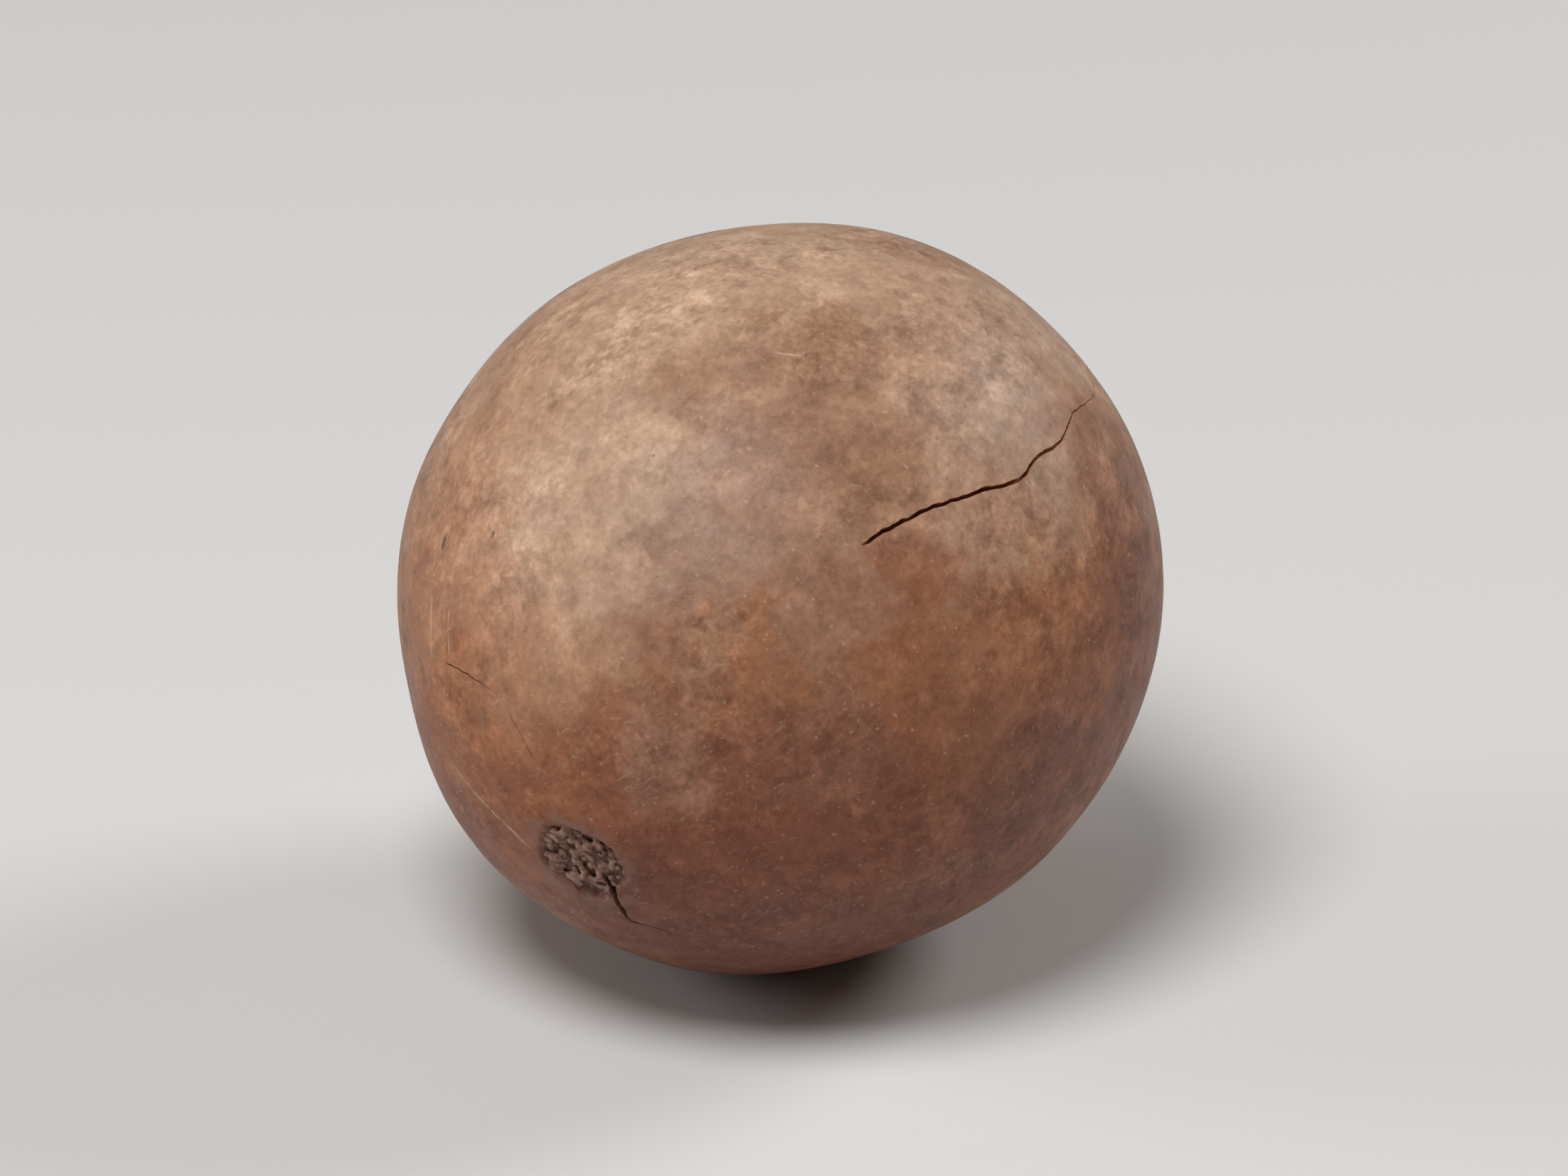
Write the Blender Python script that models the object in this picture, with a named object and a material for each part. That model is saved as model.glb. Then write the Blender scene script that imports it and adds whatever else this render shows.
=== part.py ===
"""A macadamia nut in its shell, one grown piece, lying on its side on a small flat spot.

The nut is shaped about its own axis first: +Z runs from its middle out through the stalk scar, and -Z
through its tip. A place on it is two angles in degrees: how far it lies from the scar, and the longitude
round the axis. Then the nut is turned to lie with the scar low at its front left, and is cut flat where it
touches the surface.
"""

import math
import random

import bmesh
import bpy
from mathutils import Matrix, Vector, noise

# Driving dimensions, in metres
WAIST_RADIUS = 0.0129
FLAT_SPOT_RADIUS = 0.0022
SCAR_RADIUS = 0.00170
CRACK_WIDTH = 0.00019
CRACK_DEPTH = 0.0014

# How far each end stands out past the waist radius, as a share of it
STALK_SWELL = 0.082
TIP_SWELL = 0.018

# How the nut lies: where the scar points, and the turn about the nut's own axis, in degrees
SCAR_AZIMUTH = -122.0
SCAR_ELEVATION = -21.6
ROLL = 127.7

# Broad flats and swellings of the shell: degrees from the scar, longitude, reach in degrees, height in metres
SHALLOW_FORMS = (
    (120.0, 68.0, 48.0, -0.00050),
    (58.0, -98.0, 32.0, -0.00030),
    (70.0, 122.0, 30.0, 0.00024),
    (36.0, 172.0, 28.0, 0.00024),
    (120.0, -50.0, 40.0, 0.00014),
    (148.0, 10.0, 30.0, -0.00016),
    (64.0, -20.0, 40.0, 0.00014),
    (104.0, 160.0, 42.0, -0.00010),
    (128.0, -110.0, 40.0, 0.00016),
    (36.0, 108.0, 20.0, 0.00008),
)
WAVE_LENGTH = 0.0052
WAVE_HEIGHT = 0.00005

# The scar: a sunk, ragged disc of corky crumbs with a low swollen rim
SCAR_FLOOR = 0.00024
SCAR_WALL_SHARE = 0.16
SCAR_EDGE_WANDER = 0.16
SCAR_EDGE_WANDER_LENGTH = 0.0009
CRUMB_SIZE = 0.00052
CRUMB_SPREAD = 0.62
CRUMB_BEND = 0.45
CRUMB_HEIGHT = 0.00030
RIM_HEIGHT = 0.00010
RIM_REACH = 1.9

# Torn ends of the stalk's bundles, curled over and lying among the crumbs
CURL_COUNT = 26
CURL_SPREAD = 0.90
CURL_RADIUS = 0.00026
CURL_THICKNESS = 0.00024
CURL_TURN = 220.0
CURL_VARIATION = 0.28
CURL_STEPS = 6
CURL_SIDES = 4
CURL_END_SHARE = 0.55
CURL_RISE = 0.00002
CURL_TILT = 24.0
CURL_SCATTER = 12.0
GOLDEN_ANGLE = 137.5
SEED = 11

# The tip: a shallow dimple with a low nub, where a seedling would come out
TIP_DIMPLE_REACH = 9.0
TIP_DIMPLE_DEPTH = 0.00012
TIP_NUB_REACH = 2.8
TIP_NUB_HEIGHT = 0.00016

# Cracks, each a route of (degrees from the scar, longitude), its share of the full width and of the depth
MAIN_CRACK = ((68.3, 11.0), (73.0, 9.2), (76.8, 7.6), (80.5, 5.8), (84.0, 3.7), (89.1, 1.1), (91.7, -0.8),
              (96.3, -2.6), (100.1, -2.6), (107.1, -4.8), (114.4, -5.0), (118.5, -6.2), (124.6, -8.4),
              (129.0, -9.4), (136.0, -9.0), (142.0, -11.0))
SCAR_CRACK = ((4.0, -76.0), (7.0, -92.3), (9.0, -99.2), (12.3, -105.7), (13.4, -102.3), (14.8, -96.4),
              (17.5, -92.0))
SIDE_CRACK = ((34.4, 100.2), (33.3, 97.5), (29.1, 86.6), (26.3, 80.1), (24.0, 77.6))
CRACKS = (
    ("main_crack", MAIN_CRACK, 1.0, 1.0),
    ("scar_crack", SCAR_CRACK, 0.72, 0.5),
    ("side_crack", SIDE_CRACK, 0.45, 0.25),
)
CRACK_STEP = 0.00045
CRACK_KINK = 0.00005
CRACK_KINK_LENGTH = 0.0009
CRACK_FLOOR_SHARE = 0.3
BLADE_CLEARANCE = 0.0004

# How a crack's width runs, as shares of its width and length: it opens bluntly, then thins out to the far end
CRACK_START_WIDTH = 0.4
CRACK_START_LENGTH = 0.03
CRACK_END_WIDTH = 0.16
CRACK_THINNING = 1.6
CRACK_DEPTH_THINNING = 0.5

# Mesh fineness: how often the mesh is halved overall, and again within some degrees of the scar and the tip
BALL_SUBDIVISIONS = 5
SCAR_HALVINGS = 3
SCAR_MESH_REACH = 9.8
TIP_HALVINGS = 2
TIP_MESH_REACH = 9.0

SHELL_COLOUR = (0.235, 0.115, 0.068, 1.0)
SHELL_ROUGHNESS = 0.48
SHARP_ANGLE = 40.0

SCAR_DIRECTION = Vector((0.0, 0.0, 1.0))
TIP_DIRECTION = Vector((0.0, 0.0, -1.0))


def place(from_scar, longitude):
    """The direction from the nut's middle to a place on it, given in degrees."""
    polar, turn = math.radians(from_scar), math.radians(longitude)
    return Vector((math.sin(polar) * math.cos(turn), math.sin(polar) * math.sin(turn), math.cos(polar)))


def fade(distance, reach):
    """1 at the middle of a form, falling smoothly to 0 at its reach."""
    if distance >= reach:
        return 0.0
    return 0.5 + 0.5 * math.cos(math.pi * distance / reach)


def angle_between(a, b):
    return math.degrees(math.acos(max(-1.0, min(1.0, a.dot(b)))))


def broad_radius(direction):
    """The shell's radius without the scar: an egg with broad flats, long waves and the tip's dimple."""
    swell = STALK_SWELL if direction.z > 0.0 else TIP_SWELL
    radius = WAIST_RADIUS * (1.0 + swell * direction.z**2)
    for from_scar, longitude, reach, height in SHALLOW_FORMS:
        radius += height * fade(angle_between(direction, place(from_scar, longitude)), reach)
    radius += WAVE_HEIGHT * noise.noise(direction * (WAIST_RADIUS / WAVE_LENGTH))
    from_tip = angle_between(direction, TIP_DIRECTION)
    radius -= TIP_DIMPLE_DEPTH * fade(from_tip, TIP_DIMPLE_REACH)
    return radius + TIP_NUB_HEIGHT * fade(from_tip, TIP_NUB_REACH)


def scar_relief(direction):
    """How far the surface stands out (or in) near the scar: rim, sunk floor and crumbs."""
    spot = Vector((direction.x, direction.y, 0.0)) * WAIST_RADIUS
    edge = SCAR_RADIUS * (1.0 + SCAR_EDGE_WANDER * noise.noise(spot / SCAR_EDGE_WANDER_LENGTH))
    across = spot.length
    if direction.z < 0.0 or across > edge * RIM_REACH:
        return 0.0
    rim = RIM_HEIGHT * fade(abs(across - edge), edge * (RIM_REACH - 1.0))
    inside = min(1.0, max(0.0, (edge - across) / (SCAR_WALL_SHARE * edge)))
    spot /= CRUMB_SIZE
    nearest = noise.voronoi(spot + noise.noise_vector(spot) * CRUMB_BEND)[0][0]
    crumb = CRUMB_HEIGHT * max(0.0, 1.0 - (nearest / CRUMB_SPREAD) ** 2)
    return rim * (1.0 - inside) + inside * (crumb - SCAR_FLOOR)


def surface_point(direction):
    return direction * (broad_radius(direction) + scar_relief(direction))


def refine(ball, middle, reach, halvings):
    """Splits the triangles within some degrees of a place into smaller ones, one halving at a time."""
    for _ in range(halvings):
        near = [e for e in ball.edges if all(angle_between(v.co, middle) < reach for v in e.verts)]
        bmesh.ops.subdivide_edges(ball, edges=near, cuts=1, use_grid_fill=True)
        bmesh.ops.triangulate(ball, faces=ball.faces[:])
        for vert in ball.verts:
            vert.co.normalize()


def how_it_lies():
    """The turn from the nut's own axes to how it rests."""
    turn = Matrix.Rotation(math.radians(SCAR_AZIMUTH), 4, "Z")
    tilt = Matrix.Rotation(math.radians(90.0 - SCAR_ELEVATION), 4, "Y")
    return turn @ tilt @ Matrix.Rotation(math.radians(ROLL), 4, "Z")


def rest_shift(ball, lie):
    """The move that brings the flat spot's middle to the origin, for a ball still in its own axes."""
    laid = [lie @ v.co for v in ball.verts]
    lowest = min(laid, key=lambda p: p.z)
    flat_depth = FLAT_SPOT_RADIUS**2 / (2.0 * WAIST_RADIUS)
    return -Vector((lowest.x, lowest.y, lowest.z + flat_depth))


def shell_ball():
    """The whole shell as a closed ball of triangles, finer at both ends, in the nut's own axes."""
    ball = bmesh.new()
    bmesh.ops.create_icosphere(ball, subdivisions=BALL_SUBDIVISIONS, radius=1.0)
    refine(ball, SCAR_DIRECTION, SCAR_MESH_REACH, SCAR_HALVINGS)
    refine(ball, TIP_DIRECTION, TIP_MESH_REACH, TIP_HALVINGS)
    for vert in ball.verts:
        vert.co = surface_point(vert.co.normalized())
    return ball


def cut_flat_spot(obj):
    """Slices off what lies under the surface that the nut rests on, and closes the cut with one flat face."""
    mesh = bmesh.new()
    mesh.from_mesh(obj.data)
    geometry = mesh.verts[:] + mesh.edges[:] + mesh.faces[:]
    cut = bmesh.ops.bisect_plane(mesh, geom=geometry, plane_no=(0.0, 0.0, -1.0), clear_outer=True)
    rim = [e for e in cut["geom_cut"] if isinstance(e, bmesh.types.BMEdge)]
    for edge in rim:
        edge.smooth = False
    bmesh.ops.contextual_create(mesh, geom=rim)
    bmesh.ops.recalc_face_normals(mesh, faces=mesh.faces[:])
    mesh.to_mesh(obj.data)
    mesh.free()


def new_object(name, mesh, move):
    """A named object with this mesh, moved into place, with the place kept in the mesh."""
    mesh.transform(move)
    data = bpy.data.meshes.new(name)
    mesh.to_mesh(data)
    mesh.free()
    return bpy.data.objects.new(name, data)


def smooth_route(route):
    """Even points on a curve through the route's places, with small kinks as in a real crack."""
    corners = [place(*stop) for stop in route]
    corners = [2.0 * corners[0] - corners[1], *corners, 2.0 * corners[-1] - corners[-2]]
    points = []
    for before, start, end, after in zip(corners, corners[1:], corners[2:], corners[3:]):
        steps = max(1, round((end - start).length * WAIST_RADIUS / CRACK_STEP))
        for step in range(steps):
            t = step / steps
            bend = (2.0 * start + (end - before) * t + (2.0 * before - 5.0 * start + 4.0 * end - after) * t**2
                    + (3.0 * start - before - 3.0 * end + after) * t**3)
            points.append(0.5 * bend)
    points.append(corners[-2])
    size = WAIST_RADIUS / CRACK_KINK_LENGTH
    kink = CRACK_KINK / WAIST_RADIUS
    return [(p + noise.noise_vector(p * size) * kink).normalized() for p in points]


def crack_taper(share):
    """The crack's width along it, as a share: blunt where it starts, and thinning out along its length."""
    opening = min(1.0, CRACK_START_WIDTH + share / CRACK_START_LENGTH)
    return opening * (1.0 - (1.0 - CRACK_END_WIDTH) * share**CRACK_THINNING)


def crack_blade(name, route, width_share, depth_share):
    """A thin closed wedge that follows a crack's route and reaches down into the shell."""
    points = smooth_route(route)
    blade = bmesh.new()
    rings = []
    for i, point in enumerate(points):
        along = (points[min(i + 1, len(points) - 1)] - points[max(i - 1, 0)]).normalized()
        side = point.cross(along).normalized()
        taper = crack_taper(i / (len(points) - 1))
        half = 0.5 * CRACK_WIDTH * width_share * taper
        depth = CRACK_DEPTH * depth_share * taper**CRACK_DEPTH_THINNING
        top_half = half * (1.0 + (1.0 - CRACK_FLOOR_SHARE) * BLADE_CLEARANCE / depth)
        floor_half = half * CRACK_FLOOR_SHARE
        radius = broad_radius(point)
        top, floor = point * (radius + BLADE_CLEARANCE), point * (radius - depth)
        upper = (top - side * top_half, top + side * top_half)
        lower = (floor + side * floor_half, floor - side * floor_half)
        rings.append([blade.verts.new(corner) for corner in upper + lower])
    for first, second in zip(rings, rings[1:]):
        for k in range(4):
            blade.faces.new((first[k], first[k - 1], second[k - 1], second[k]))
    blade.faces.new(rings[0])
    blade.faces.new(rings[-1][::-1])
    bmesh.ops.recalc_face_normals(blade, faces=blade.faces[:])
    return name, blade


def bundle_curl(index, draw):
    """A torn bundle end: a short tube bent round in an open loop, thin at its ends, half sunk in the scar."""
    curl = bmesh.new()
    bend = CURL_RADIUS * draw.uniform(1.0 - CURL_VARIATION, 1.0 + CURL_VARIATION)
    turn = math.radians(CURL_TURN * draw.uniform(1.0 - CURL_VARIATION, 1.0 + CURL_VARIATION))
    rings = []
    for step in range(CURL_STEPS + 1):
        share = step / CURL_STEPS
        from_mid_length = abs(2.0 * share - 1.0)
        thick = 0.5 * CURL_THICKNESS * (1.0 - (1.0 - CURL_END_SHARE) * from_mid_length**2)
        outward = Vector((math.cos(turn * share), math.sin(turn * share), 0.0))
        ring = []
        for side in range(CURL_SIDES):
            around = math.tau * side / CURL_SIDES
            reach, rise = bend + thick * math.cos(around), thick * math.sin(around)
            ring.append(curl.verts.new(outward * reach + SCAR_DIRECTION * rise))
        rings.append(ring)
    for first, second in zip(rings, rings[1:]):
        for k in range(CURL_SIDES):
            curl.faces.new((first[k], first[k - 1], second[k - 1], second[k]))
    curl.faces.new(rings[0])
    curl.faces.new(rings[-1][::-1])
    bmesh.ops.recalc_face_normals(curl, faces=curl.faces[:])
    from_middle = CURL_SPREAD * SCAR_RADIUS * math.sqrt((index + 0.5) / CURL_COUNT)
    longitude = GOLDEN_ANGLE * index + draw.uniform(-CURL_SCATTER, CURL_SCATTER)
    outward = place(math.degrees(from_middle / WAIST_RADIUS), longitude)
    foot = outward * (broad_radius(outward) + CURL_RISE)
    tilt = Matrix.Rotation(math.radians(draw.uniform(-CURL_TILT, CURL_TILT)), 4, "Y")
    curl.transform(Matrix.Translation(foot) @ Matrix.Rotation(draw.uniform(0.0, math.tau), 4, "Z") @ tilt)
    return curl


def apply_boolean(obj, operation, helpers):
    """Joins or cuts with a collection of helpers, keeps the result as the mesh, and removes the helpers."""
    group = bpy.data.collections.new(operation.lower())
    bpy.context.scene.collection.children.link(group)
    for helper in helpers:
        helper.hide_render = True
        helper.display_type = "WIRE"
        group.objects.link(helper)
    modifier = obj.modifiers.new(operation.lower(), "BOOLEAN")
    modifier.operation = operation
    modifier.solver = "EXACT"
    modifier.operand_type = "COLLECTION"
    modifier.collection = group
    graph = bpy.context.evaluated_depsgraph_get()
    result = bpy.data.meshes.new_from_object(obj.evaluated_get(graph))
    obj.modifiers.remove(modifier)
    obj.data = result
    for helper in helpers:
        bpy.data.objects.remove(helper)
    bpy.data.collections.remove(group)


def shell_material():
    material = bpy.data.materials.new("shell")
    material.use_nodes = True
    shader = material.node_tree.nodes["Principled BSDF"]
    shader.inputs["Base Color"].default_value = SHELL_COLOUR
    shader.inputs["Roughness"].default_value = SHELL_ROUGHNESS
    shader.inputs["Metallic"].default_value = 0.0
    return material


def make_nut():
    """The finished nut: the ball, its curled bundle ends, its cracks and its flat spot."""
    ball = shell_ball()
    lie = how_it_lies()
    move = Matrix.Translation(rest_shift(ball, lie)) @ lie
    nut = new_object("nut", ball, move)
    bpy.context.scene.collection.objects.link(nut)
    draw = random.Random(SEED)
    curls = [new_object(f"curl_{i}", bundle_curl(i, draw), move) for i in range(CURL_COUNT)]
    apply_boolean(nut, "UNION", curls)
    blades = [new_object(*crack_blade(*crack), move) for crack in CRACKS]
    apply_boolean(nut, "DIFFERENCE", blades)
    nut.data.shade_smooth()
    nut.data.set_sharp_from_angle(angle=math.radians(SHARP_ANGLE))
    cut_flat_spot(nut)
    nut.data.materials.clear()
    nut.data.materials.append(shell_material())


for leftover in list(bpy.data.objects):
    bpy.data.objects.remove(leftover)
noise.seed_set(SEED)
make_nut()
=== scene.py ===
# %% [markdown]
# # A macadamia nut in its shell
#
# The model is one nut, about 26 mm across, lying on its side. Its woody shell is nearly round. It has a
# corky scar where the stalk held it, an open crack, and a low nub at the far end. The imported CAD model
# already has these forms at their real sizes, and this script dresses it with a fine shell, real crack
# walls, the crumbs of the scar, and the mottled brown skin.
#
# One idea runs through the whole lesson. Every piece is first made on a plain ball, in millimetres, round
# the nut's own axis, with +Z going out through the stalk scar. One shared tree, the nut form, then bends
# whatever sits on that ball to the nut's shape. Shell, cracks and cork go through the same tree, so they
# always fit. Last of all the nut is laid down in its frame, in metres.

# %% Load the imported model
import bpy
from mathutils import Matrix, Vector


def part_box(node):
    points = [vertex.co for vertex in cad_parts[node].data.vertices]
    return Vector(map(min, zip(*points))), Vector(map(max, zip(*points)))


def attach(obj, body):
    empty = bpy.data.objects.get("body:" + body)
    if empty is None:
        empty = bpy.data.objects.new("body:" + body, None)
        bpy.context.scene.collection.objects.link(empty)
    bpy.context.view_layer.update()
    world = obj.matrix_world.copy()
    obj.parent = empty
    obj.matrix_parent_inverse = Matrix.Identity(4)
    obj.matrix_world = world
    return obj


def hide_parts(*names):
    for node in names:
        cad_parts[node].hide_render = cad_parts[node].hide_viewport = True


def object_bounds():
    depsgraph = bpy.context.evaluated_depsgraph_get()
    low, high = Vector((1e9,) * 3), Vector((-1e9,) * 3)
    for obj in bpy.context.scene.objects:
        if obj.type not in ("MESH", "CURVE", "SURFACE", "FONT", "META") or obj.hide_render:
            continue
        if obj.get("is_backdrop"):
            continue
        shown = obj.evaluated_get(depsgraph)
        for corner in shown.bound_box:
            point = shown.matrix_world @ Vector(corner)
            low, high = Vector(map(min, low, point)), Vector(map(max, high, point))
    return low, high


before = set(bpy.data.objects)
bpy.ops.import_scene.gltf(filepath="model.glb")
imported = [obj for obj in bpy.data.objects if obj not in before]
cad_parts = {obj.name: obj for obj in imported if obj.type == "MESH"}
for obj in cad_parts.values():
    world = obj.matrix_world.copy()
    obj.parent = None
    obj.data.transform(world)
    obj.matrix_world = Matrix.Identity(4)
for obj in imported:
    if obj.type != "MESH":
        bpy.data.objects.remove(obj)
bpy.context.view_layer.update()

# %% [markdown]
# ## Places on the nut
#
# A place on a round thing is named most easily by two angles, as on a globe: how far it lies from the
# scar, and its longitude round the axis. The helper turns them into a direction. The nut then lies with
# its scar low at the front left, and one matrix holds that turn. The same numbers shape the CAD model.

# %% Directions, and how the nut lies
import math

import bmesh
import bpy
from mathutils import Matrix, Vector, kdtree

MILLIMETRE = 0.001
WAIST_RADIUS = 12.9
SCAR_AZIMUTH = -122.0
SCAR_ELEVATION = -21.6
ROLL = 127.7


def place(from_scar, longitude):
    """The direction from the nut's middle to a place, given in degrees."""
    polar, turn = math.radians(from_scar), math.radians(longitude)
    return Vector((math.sin(polar) * math.cos(turn), math.sin(polar) * math.sin(turn), math.cos(polar)))


about_the_axis = Matrix.Rotation(math.radians(ROLL), 4, "Z")
scar_down = Matrix.Rotation(math.radians(90.0 - SCAR_ELEVATION), 4, "Y")
scar_to_its_side = Matrix.Rotation(math.radians(SCAR_AZIMUTH), 4, "Z")
lie = scar_to_its_side @ scar_down @ about_the_axis
print("The scar points to", [round(part, 2) for part in lie @ place(0.0, 0.0)])

# %% [markdown]
# ## Helpers for node trees
#
# Geometry trees and material trees are built the same way: add a node, set it up, and join its inputs. A
# few small helpers keep that readable. An input is filled with a number where the value is fixed, and
# linked where it is another node's output.

# %% Small helpers for building trees
def put(tree, kind, inputs=None, **settings):
    """Adds a node, sets it up, and fills or links its inputs. Returns the node."""
    node = tree.nodes.new(kind)
    for name, value in settings.items():
        setattr(node, name, value)
    for key, value in (inputs or {}).items():
        if isinstance(value, bpy.types.NodeSocket):
            tree.links.new(value, node.inputs[key])
        else:
            node.inputs[key].default_value = value
    return node


def calc(tree, operation, *values):
    """A Math node's result."""
    return put(tree, "ShaderNodeMath", dict(enumerate(values)), operation=operation).outputs[0]


def vector(tree, operation, *values):
    """A Vector Math node's result: a number for DOT_PRODUCT and LENGTH, and else a vector."""
    node = put(tree, "ShaderNodeVectorMath", dict(enumerate(values)), operation=operation)
    return node.outputs[1 if operation in ("DOT_PRODUCT", "LENGTH") else 0]


def scaled(tree, socket, factor):
    """A vector made longer or shorter by a number."""
    return put(tree, "ShaderNodeVectorMath", {0: socket, 3: factor}, operation="SCALE").outputs[0]


def ramp(tree, value, start, end, at_start=0.0, at_end=1.0, smooth=True):
    """Goes from one value to another while the input goes from start to end, and holds them outside."""
    kind = "SMOOTHSTEP" if smooth else "LINEAR"
    ends = {0: value, 1: start, 2: end, 3: at_start, 4: at_end}
    return put(tree, "ShaderNodeMapRange", ends, interpolation_type=kind).outputs[0]


def noise(tree, where, size, detail=2.0, roughness=0.5):
    """A noise node whose blotches are about the given size. Output 0 is a number, and 1 three of them."""
    return put(tree, "ShaderNodeTexNoise", {0: where, 2: 1.0 / size, 3: detail, 4: roughness})


def degrees_from(tree, direction, middle):
    """How many degrees a direction lies from a place."""
    return calc(tree, "DEGREES", calc(tree, "ARCCOSINE", vector(tree, "DOT_PRODUCT", direction, middle)))


def new_tree(name, sizes):
    """A geometry tree with named inputs for its sizes. Returns it, its inputs and its final input."""
    tree = bpy.data.node_groups.new(name, "GeometryNodeTree")
    tree.interface.new_socket("Geometry", in_out="INPUT", socket_type="NodeSocketGeometry")
    tree.interface.new_socket("Geometry", in_out="OUTPUT", socket_type="NodeSocketGeometry")
    for label, value in sizes.items():
        kind = "NodeSocketInt" if isinstance(value, int) else "NodeSocketFloat"
        tree.interface.new_socket(label, in_out="INPUT", socket_type=kind).default_value = value
    given = tree.nodes.new("NodeGroupInput").outputs
    return tree, given, tree.nodes.new("NodeGroupOutput").inputs[0]


def run_tree(obj, tree, sizes):
    """Runs a tree on an object with these sizes, and keeps the result as the object's plain mesh."""
    modifier = obj.modifiers.new(tree.name, "NODES")
    modifier.node_group = tree
    for item in tree.interface.items_tree:
        if item.in_out == "INPUT" and item.name in sizes:
            modifier[item.identifier] = sizes[item.name]
    graph = bpy.context.evaluated_depsgraph_get()
    result = bpy.data.meshes.new_from_object(obj.evaluated_get(graph), preserve_all_data_layers=True,
                                             depsgraph=graph)
    obj.modifiers.remove(modifier)
    obj.data = result
    print(f"{obj.name}: {len(result.polygons)} faces after {tree.name}")


def new_object(name, mesh):
    """Links a new object with this mesh to the scene, at the origin."""
    data = bpy.data.meshes.new(name)
    mesh.to_mesh(data)
    mesh.free()
    obj = bpy.data.objects.new(name, data)
    bpy.context.scene.collection.objects.link(obj)
    return obj


print("Helpers:", [helper.__name__ for helper in (put, calc, vector, scaled, ramp, noise, degrees_from)])

# %% [markdown]
# ## The nut form
#
# A macadamia is never a true ball. The stalk end stands out a little, the tip hardly at all, and there are
# broad flats and swellings where the nut pressed against its husk. Sculpting them by hand would give one
# nut only. Here each is a smooth form with a middle, a reach in degrees and a height, added along the
# radius. A geometry tree adds them up, so the same bend can be given to the shell, the crack cutters and
# the cork.

# %% Broad forms: degrees from the scar, longitude, reach in degrees, height in mm
STALK_SWELL = 0.082
TIP_SWELL = 0.018
SHALLOW_FORMS = (
    (120.0, 68.0, 48.0, -0.50),
    (58.0, -98.0, 32.0, -0.30),
    (70.0, 122.0, 30.0, 0.24),
    (36.0, 172.0, 28.0, 0.24),
    (120.0, -50.0, 40.0, 0.14),
    (148.0, 10.0, 30.0, -0.16),
    (64.0, -20.0, 40.0, 0.14),
    (104.0, 160.0, 42.0, -0.10),
    (128.0, -110.0, 40.0, 0.16),
    (36.0, 108.0, 20.0, 0.08),
)
TIP_DIMPLE_REACH, TIP_DIMPLE_DEPTH = 9.0, 0.12
TIP_NUB_REACH, TIP_NUB_HEIGHT = 2.8, 0.16

form_sizes = {"Waist Radius": WAIST_RADIUS, "Stalk Swell": STALK_SWELL, "Tip Swell": TIP_SWELL}
nut_form, given, final = new_tree("nut form", form_sizes)
position = put(nut_form, "GeometryNodeInputPosition").outputs[0]
direction = vector(nut_form, "NORMALIZE", position)
along_axis = put(nut_form, "ShaderNodeSeparateXYZ", {0: direction}).outputs[2]
stalk_half = calc(nut_form, "GREATER_THAN", along_axis, 0.0)
either_swell = {0: stalk_half, 2: given["Tip Swell"], 3: given["Stalk Swell"]}
swell = put(nut_form, "ShaderNodeMix", either_swell).outputs[0]
swell = calc(nut_form, "MULTIPLY", swell, given["Waist Radius"])
rise = calc(nut_form, "MULTIPLY", swell, calc(nut_form, "MULTIPLY", along_axis, along_axis))
tip_forms = (
    (180.0, 0.0, TIP_DIMPLE_REACH, -TIP_DIMPLE_DEPTH),
    (180.0, 0.0, TIP_NUB_REACH, TIP_NUB_HEIGHT),
)
for from_scar, longitude, reach, height in SHALLOW_FORMS + tip_forms:
    away = degrees_from(nut_form, direction, place(from_scar, longitude))
    rise = calc(nut_form, "ADD", rise, ramp(nut_form, away, 0.0, reach, height, 0.0))
moved = scaled(nut_form, direction, rise)
shaped = put(nut_form, "GeometryNodeSetPosition", {0: given["Geometry"], "Offset": moved}).outputs[0]
nut_form.links.new(shaped, final)
print("The nut form adds up", len(SHALLOW_FORMS), "broad forms, a dimple and a nub")

# %% [markdown]
# ## Where the cracks run
#
# The shell has dried and split in three places: one long crack over the upper right that gapes for most of
# its length, a short gash running out of the scar, and a hairline at the left. Each is a route of places,
# read from the photograph. A smooth curve through them, with points less than a tenth of a
# millimetre apart, is needed twice: to make the mesh fine there, and to lead the cutter. So the routes
# come first.

# %% Routes of the cracks: degrees from the scar, longitude
GAPING_CRACK = ((68.3, 11.0), (73.0, 9.2), (76.8, 7.6), (80.5, 5.8), (84.0, 3.7), (89.1, 1.1), (91.7, -0.8),
                (96.3, -2.6), (100.1, -2.6), (107.1, -4.8), (114.4, -5.0), (118.5, -6.2), (124.6, -8.4),
                (129.0, -9.4), (136.0, -9.0), (142.0, -11.0))
SCAR_GASH = ((4.0, -76.0), (7.0, -92.3), (9.0, -99.2), (12.3, -105.7), (13.4, -102.3), (14.8, -96.4),
             (17.5, -92.0))
HAIRLINE = ((34.4, 100.2), (33.3, 97.5), (29.1, 86.6), (26.3, 80.1), (24.0, 77.6))
ROUTE_STEP = 0.08


def route_points(route):
    """Points on a smooth curve through the route's places, on the ball of the waist radius."""
    stops = [place(*stop) * WAIST_RADIUS for stop in route]
    stops = [2.0 * stops[0] - stops[1], *stops, 2.0 * stops[-1] - stops[-2]]
    points = []
    for before, start, end, after in zip(stops, stops[1:], stops[2:], stops[3:]):
        steps = max(1, round((end - start).length / ROUTE_STEP))
        for step in range(steps):
            t = step / steps
            square = 2.0 * before - 5.0 * start + 4.0 * end - after
            cube = 3.0 * start - before - 3.0 * end + after
            bend = 2.0 * start + (end - before) * t + square * t**2 + cube * t**3
            points.append(bend.normalized() * WAIST_RADIUS)
    return points + [stops[-2]]


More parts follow.
